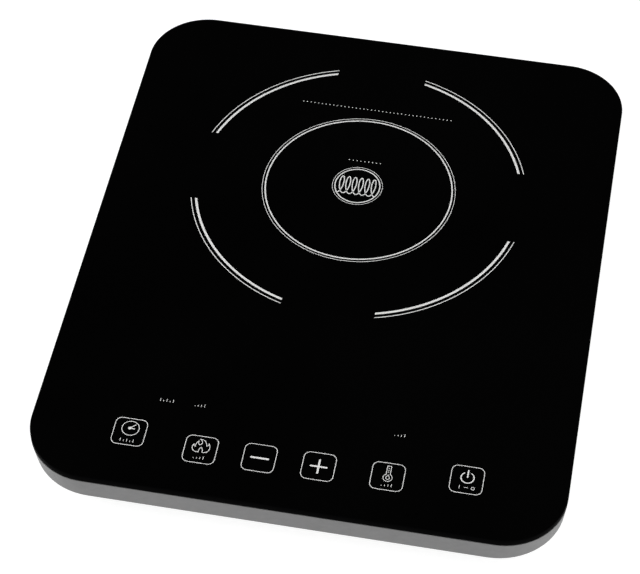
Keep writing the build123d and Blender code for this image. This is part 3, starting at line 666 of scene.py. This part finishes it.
def makeTimerSign(x, y):
    look = timerSign
    dial = (x + 0.1, y + look["rise"])
    hub = (dial[0] - look["hubLeft"], dial[1])
    work = bmesh.new()
    inkRing(work, dial, look["radius"], look["line"], 48)
    inkDot(work, hub, look["hub"], extra=0.01)
    for order, (dx, dy) in enumerate((look["longHand"], look["shortHand"])):
        inkLine(work, [hub, (hub[0] + dx, hub[1] + dy)], look["hand"], extra=0.004 * order)
    finishPrint("timerSign", work)


def smoothLine(points, steps=6):
    # a soft line through given points
    spots = [Vector(p) for p in points]
    line = []
    for index in range(len(spots) - 1):
        a = spots[max(0, index - 1)]
        b, c = spots[index], spots[index + 1]
        d = spots[min(len(spots) - 1, index + 2)]
        for step in range(steps):
            t = step / steps
            line.append(0.5 * ((2 * b) + (c - a) * t + (2 * a - 5 * b + 4 * c - d) * t ** 2
                               + (3 * b - a - 3 * c + d) * t ** 3))
    line.append(spots[-1])
    return line


heatSign = {
    # soft runs between sharp tips: three tongues and a small opening at the foot
    "line": 0.37, "size": 0.93, "rise": 0.1,
    "runs": (
        ((-0.9, -1.9), (-2.6, -1.9), (-4.3, -0.9), (-5.0, 0.8), (-4.9, 2.0), (-4.4, 3.2)),
        ((-4.4, 3.2), (-4.1, 2.0), (-3.2, 1.5)),
        ((-3.2, 1.5), (-3.3, 3.0), (-2.8, 4.6), (-2.0, 5.8)),
        ((-2.0, 5.8), (-2.0, 4.4), (-1.3, 3.2), (-0.3, 3.5), (0.2, 4.8), (-0.4, 6.2), (-1.4, 6.9)),
        ((-1.4, 6.9), (0.6, 6.8), (2.2, 5.4), (2.9, 3.6), (3.1, 2.8)),
        ((3.1, 2.8), (3.9, 3.4), (4.2, 4.7)),
        ((4.2, 4.7), (5.0, 2.6), (4.9, 0.4), (4.0, -1.2), (2.4, -1.9), (1.3, -1.9)),
        ((1.3, -1.9), (1.2, -0.2), (0.2, 1.5), (-0.8, -0.2), (-0.9, -1.9)),
    ),
}


def makeHeatSign(x, y):
    look = heatSign
    work = bmesh.new()
    for order, run in enumerate(look["runs"]):
        line = [(x + p.x * look["size"], y + look["rise"] + p.y * look["size"]) for p in smoothLine(run)]
        inkLine(work, line, look["line"], extra=0.004 * (order % 2))
    finishPrint("heatSign", work)


barSigns = {"minusWide": (-4.4, 4.7), "minusLine": 1.1,
            "plusWide": (-4.2, 4.3), "plusTall": (-4.3, 4.2), "plusLine": 1.0}


def makeBarSigns():
    look = barSigns
    work = bmesh.new()
    x, y = keyLook["places"]["minus"]
    inkLine(work, [(x + end, y) for end in look["minusWide"]], look["minusLine"])
    finishPrint("minusSign", work)
    work = bmesh.new()
    x, y = keyLook["places"]["plus"]
    inkLine(work, [(x + end, y - 0.1) for end in look["plusWide"]], look["plusLine"])
    inkLine(work, [(x, y + end) for end in look["plusTall"]], look["plusLine"], extra=0.004)
    finishPrint("plusSign", work)


tempSign = {"bulb": 2.4, "tube": 1.08, "top": 6.8, "line": 0.35, "drop": 1.0, "dropLine": 0.32,
            "dots": (2.9, 4.1, 5.3), "dot": 0.30, "low": 0.75}


def makeTempSign(x, y):
    # a thermometer: tube, bulb, drop and graduations
    look = tempSign
    bulb = (x + 0.1, y - look["low"])
    neck = math.degrees(math.acos(look["tube"] / look["bulb"]))
    outline = arcPoints(bulb, look["bulb"], 180 - neck, 360 + neck, 30)
    for side in (1, -1):
        ends = [(bulb[0] + side * look["tube"], y + look["top"] - 0.35),
                (bulb[0] + side * (look["tube"] - 0.05), y + look["top"])]
        outline += ends if side > 0 else ends[::-1]
    work = bmesh.new()
    inkLine(work, outline, look["line"], closed=True)
    drop = arcPoints((bulb[0], bulb[1] - 0.1), look["drop"], 140, 400, 16) + [(bulb[0], bulb[1] + 1.7)]
    inkLine(work, drop, look["dropLine"], closed=True)
    for rise in look["dots"]:
        inkDot(work, (bulb[0], y + rise), look["dot"])
    finishPrint("tempSign", work)


powerSign = {"rise": 1.4, "radius": 3.45, "gap": (123, 417), "line": 0.60,
             "bar": (0.35, 4.7), "barLine": 0.78}


def makePowerSign(x, y):
    look = powerSign
    ring = (x + 0.1, y + look["rise"])
    work = bmesh.new()
    inkLine(work, arcPoints(ring, look["radius"], *look["gap"], 40), look["line"])
    inkLine(work, [(ring[0], ring[1] + end) for end in look["bar"]], look["barLine"])
    finishPrint("powerSign", work)


marks = {
    # plain scales, bars and dots: (x, y, kind, count)
    "timerMarks": (-90.9, -149.0, "ruler", 5), "heatMarks": (-51.0, -153.1, "rising", 4),
    "tempMarks": (49.8, -152.4, "rising", 4), "powerMarks": (91.2, -146.5, "onOff", 2),
    "timerLampMarks": (-75.6, -119.2, "ruler", 5), "heatLampMarks": (-57.4, -119.2, "rising", 4),
    "tempLampMarks": (51.7, -119.2, "rising", 4),
    "zoneDots": (-0.2, 74.1, "dots", 9), "ringDots": (0.0, 116.6, "dots", 40),
}
markSize = {"pitch": 1.75, "tall": 1.9, "line": 0.30, "dot": 0.34, "dotPitch": 2.3,
            "reach": 3.6, "nought": 0.85, "dash": 0.9}


def makeMarks(name, x, y, kind, count):
    size = markSize
    half = size["tall"] / 2
    work = bmesh.new()
    if kind == "dots":
        start = x - size["dotPitch"] * (count - 1) / 2
        for step in range(count):
            inkDot(work, (start + size["dotPitch"] * step, y), size["dot"], 10)
    elif kind == "onOff":
        inkLine(work, [(x - size["reach"], y - half), (x - size["reach"], y + half)], size["line"])
        inkRing(work, (x + size["reach"], y), size["nought"], size["line"], 24)
        inkLine(work, [(x - size["dash"], y), (x + size["dash"], y)], size["line"])
    else:
        start = x - size["pitch"] * (count - 1) / 2
        for step in range(count):
            share = (step + 1) / count if kind == "rising" else (1.0 if step % 2 == 0 else 0.5)
            place = start + size["pitch"] * step
            inkLine(work, [(place, y - half), (place, y - half + size["tall"] * share)], size["line"],
                    roundEnds=False)
    finishPrint(name, work)


makeRings()
makeCoilSign()
makeKeyFrames()
makeTimerSign(*keyLook["places"]["timer"])
makeHeatSign(*keyLook["places"]["heat"])
makeBarSigns()
makeTempSign(*keyLook["places"]["temp"])
makePowerSign(*keyLook["places"]["power"])
for markName, values in marks.items():
    makeMarks(markName, *values)
print("white print made")


footLook = {
    # the sole's profile as (radius, height)
    "tread": ((9.2, 0.0), (8.4, 0.0), (8.1, 0.5), (7.3, 0.5), (7.0, 0.0), (5.6, 0.0), (5.3, 0.5),
              (4.5, 0.5), (4.2, 0.0), (2.8, 0.0), (2.5, 0.5), (1.7, 0.5), (1.4, 0.0)),
    "steps": 48, "edge": 0.8, "neck": 3.0, "shoulder": 4.0,
}


def turnedPiece(name, centre, profile, steps):
    # a closed solid of revolution about an upright axis, from a profile of (radius, height) down the outside
    mesh = bpy.data.meshes.new(name)
    work = bmesh.new()
    rings = []
    for radius, height in profile:
        rings.append([work.verts.new((centre[0] + radius * mm * math.cos(math.tau * s / steps),
                                      centre[1] + radius * mm * math.sin(math.tau * s / steps), height * mm))
                      for s in range(steps)])
    for upper, lower in zip(rings, rings[1:]):
        for index in range(steps):
            after = (index + 1) % steps
            work.faces.new((upper[index], upper[after], lower[after], lower[index]))
    work.faces.new(rings[0])
    work.faces.new(list(reversed(rings[-1])))
    bmesh.ops.recalc_face_normals(work, faces=work.faces)
    work.to_mesh(mesh)
    work.free()
    piece = bpy.data.objects.new(name, mesh)
    scene.collection.objects.link(piece)
    return piece


def makeFoot(node, material):
    # a rubber foot whose sole has grip rings
    low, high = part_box(node)
    centre = ((low.x + high.x) / 2, (low.y + high.y) / 2)
    edge = footLook["edge"]
    wide = (high.x - low.x) / 2 / mm
    neck, shoulder = footLook["neck"], footLook["shoulder"]
    profile = [(2.2, high.z / mm), (neck + 0.9, shoulder + 2.4), (neck, shoulder + 2.4), (neck, shoulder),
               (wide - 0.3, shoulder), (wide, shoulder - 0.3), (wide, edge)]
    for step in range(1, 5):
        angle = math.radians(90 * step / 4)
        profile.append((wide - edge * (1 - math.cos(angle)), edge * (1 - math.sin(angle))))
    piece = turnedPiece("grip_" + node, centre, profile + list(footLook["tread"][1:]), footLook["steps"])
    piece.data.materials.append(material)
    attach(piece, "cooktop")
    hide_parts(node)


finishes = {
    "sideFrame": mouldedPlastic("sideFramePlastic", (0.135, 0.135, 0.136), (0.17, 0.17, 0.17),
                                rough=(0.40, 0.52), grain=(1700.0, 0.18), specular=0.35, patch=0.03),
    "bond": mouldedPlastic("bondSilicone", (0.0018, 0.0018, 0.0019), (0.003, 0.003, 0.003), rough=(0.6, 0.75),
                           grain=(400.0, 0.1), specular=0.003),
    "baseShell": mouldedPlastic("baseShellPlastic", (0.022, 0.022, 0.024), (0.05, 0.05, 0.052),
                                rough=(0.5, 0.66), grain=(1100.0, 0.35), specular=0.35),
    "fan": mouldedPlastic("fanPlastic", (0.018, 0.018, 0.019), (0.05, 0.05, 0.05), rough=(0.38, 0.5),
                          grain=(1900.0, 0.15), specular=0.45),
    "gland": mouldedPlastic("glandNylon", (0.016, 0.016, 0.017), (0.045, 0.045, 0.045), rough=(0.35, 0.5),
                            grain=(1500.0, 0.2), specular=0.4),
    "rubber": mouldedPlastic("footRubber", (0.026, 0.026, 0.027), (0.07, 0.07, 0.07), rough=(0.72, 0.86),
                             grain=(800.0, 0.35), specular=0.2),
    "carrier": mouldedPlastic("heatproofPlastic", (0.56, 0.53, 0.47), (0.70, 0.68, 0.62), rough=(0.5, 0.62),
                              grain=(1200.0, 0.25)),
    "silicone": mouldedPlastic("whiteSilicone", (0.72, 0.72, 0.70), (0.8, 0.8, 0.78), rough=(0.6, 0.72),
                               grain=(600.0, 0.2), specular=0.25),
    "cableBlack": mouldedPlastic("cableJacketBlack", (0.02, 0.02, 0.02), (0.05, 0.05, 0.05),
                                 rough=(0.45, 0.6)),
    "cableGrey": mouldedPlastic("ribbonGrey", (0.42, 0.42, 0.44), (0.55, 0.55, 0.56), rough=(0.4, 0.5)),
    "screw": workedMetal("zincScrew", (0.42, 0.43, 0.43), (0.62, 0.63, 0.62)),
    "tinned": workedMetal("tinnedWire", (0.5, 0.5, 0.5), (0.72, 0.72, 0.71), rough=(0.18, 0.32)),
    "sink": workedMetal("extrudedAluminium", (0.52, 0.53, 0.54), (0.70, 0.71, 0.72), rough=(0.3, 0.48),
                        scale=500.0),
    "brass": workedMetal("turnedBrass", (0.52, 0.36, 0.13), (0.75, 0.55, 0.25), rough=(0.2, 0.36)),
    "bronze": workedMetal("sinteredBronze", (0.32, 0.2, 0.1), (0.48, 0.33, 0.18), rough=(0.35, 0.5)),
    "copper": workedMetal("enamelledCopper", (0.42, 0.15, 0.06), (0.66, 0.28, 0.12), rough=(0.2, 0.36),
                          scale=1400.0),
    "sensor": workedMetal("drawnSensorCan", (0.42, 0.42, 0.43), (0.6, 0.6, 0.61), rough=(0.25, 0.4)),
    "shaft": workedMetal("groundShaft", (0.5, 0.5, 0.52), (0.72, 0.72, 0.74), rough=(0.1, 0.2)),
    "stator": workedMetal("statorIron", (0.22, 0.17, 0.14), (0.42, 0.36, 0.32), rough=(0.35, 0.5),
                          scale=1600.0),
    "ferrite": pressedBody("sinteredFerrite", (0.04, 0.04, 0.043), (0.09, 0.09, 0.095)),
    "magnet": pressedBody("bondedMagnet", (0.06, 0.055, 0.055), (0.12, 0.115, 0.11)),
    "mica": pressedBody("pressedMica", (0.50, 0.42, 0.29), (0.72, 0.66, 0.52), scale=260.0, threshold=0.52,
                        specular=0.5),
    "boardTan": pressedBody("phenolicBoard", (0.36, 0.22, 0.08), (0.45, 0.3, 0.14), scale=420.0, coat=0.2),
    "boardGreen": pressedBody("solderMaskGreen", (0.012, 0.11, 0.04), (0.02, 0.16, 0.06), scale=520.0,
                              coat=0.5,
                              rough=(0.28, 0.42)),
    "epoxy": pressedBody("mouldedEpoxy", (0.022, 0.022, 0.023), (0.045, 0.045, 0.045), scale=1500.0),
    "film": pressedBody("boxedFilm", (0.62, 0.42, 0.05), (0.70, 0.5, 0.1), rough=(0.25, 0.4), coat=0.3),
    "ringCoat": pressedBody("coatedRing", (0.03, 0.16, 0.08), (0.05, 0.22, 0.12), rough=(0.3, 0.45),
                            coat=0.3),
    "dipped": pressedBody("dippedVaristor", (0.03, 0.09, 0.36), (0.05, 0.13, 0.45), rough=(0.2, 0.36),
                          coat=0.5),
    "tape": pressedBody("windingTape", (0.55, 0.42, 0.07), (0.62, 0.5, 0.14), rough=(0.25, 0.4), scale=300.0,
                        coat=0.3),
    "sleeve": pressedBody("shrinkSleeve", (0.02, 0.03, 0.09), (0.04, 0.05, 0.13), rough=(0.2, 0.35),
                          coat=0.4),
    "lens": pressedBody("smokedLens", (0.012, 0.012, 0.013), (0.02, 0.02, 0.021), rough=(0.1, 0.2), coat=0.5),
    "lamp": pressedBody("tintedLamp", (0.5, 0.02, 0.012), (0.62, 0.05, 0.03), rough=(0.08, 0.18), coat=0.6),
    "wovenSleeve": pressedBody("wovenGlassSleeve", (0.68, 0.65, 0.56), (0.8, 0.78, 0.7), rough=(0.7, 0.85),
                               scale=1600.0, threshold=0.5),
}


def clearFuseGlass():
    material, tree, shader = startMaterial("fuseTubeGlass", IOR=1.5, Transmission_Weight=0.85)
    smear = noiseNode(tree, 400.0, 3.0)
    tree.links.new(mixColour(tree, rangeNode(tree, smear, 0, 1), (0.75, 0.8, 0.8), (0.9, 0.93, 0.93)),
                   shader.inputs["Base Color"])
    tree.links.new(rangeNode(tree, smear, 0.04, 0.12), shader.inputs["Roughness"])
    return material


finishes["fuseGlass"] = clearFuseGlass()
finishes["litz"] = strandedCopper("litzCopper", "induction_coil", (0.28, 0.09, 0.035), (0.66, 0.29, 0.13))

nodeFinish = {
    "glass_adhesive": "bond", "side_frame": "sideFrame", "base_shell": "baseShell", "case_screws": "screw",
    "cord_gland": "gland", "coil_carrier": "carrier", "coil_leads": "wovenSleeve", "coil_terminals": "brass",
    "mica_sheet": "mica", "sensor_holder": "silicone", "coil_sensor": "sensor", "sensor_cable": "silicone",
    "main_board": "boardTan", "heat_sink": "sink", "power_transistor": "epoxy", "bridge_rectifier": "epoxy",
    "device_screws": "screw", "resonant_capacitor": "film", "bus_capacitor": "film",
    "mains_capacitor": "film",
    "choke_core": "ringCoat", "choke_winding": "copper", "fuse": "fuseGlass", "fuse_clips": "tinned",
    "varistor": "dipped", "supply_transformer": "tape", "electrolytic_capacitors": "sleeve",
    "control_chip": "epoxy", "fan_housing": "fan", "fan_bearing": "bronze", "fan_stator": "stator",
    "fan_impeller": "fan", "fan_magnet_ring": "magnet", "fan_shaft": "shaft", "fan_screws": "screw",
    "fan_cable": "cableBlack", "control_board": "boardGreen", "display_module": "lens",
    "indicator_leds": "lamp", "buzzer": "epoxy", "panel_cable": "cableGrey", "inner_screws": "screw",
    "induction_coil": "litz", "glass_plate": "lens",
}
for nodeName, node in nodes.items():
    if nodeName.startswith("foot_"):
        look = "rubber"
    elif nodeName.startswith("ferrite_bar"):
        look = "ferrite"
    elif nodeName.startswith("touch_spring"):
        look = "tinned"
    else:
        look = nodeFinish[nodeName]
    for slotIndex in range(len(node.material_slots)):
        node.material_slots[slotIndex].material = finishes[look]
    if not node.material_slots:
        node.data.materials.append(finishes[look])
for nodeName in [name for name in nodes if name.startswith("foot_")]:
    makeFoot(nodeName, finishes["rubber"])
print("finishes assigned")
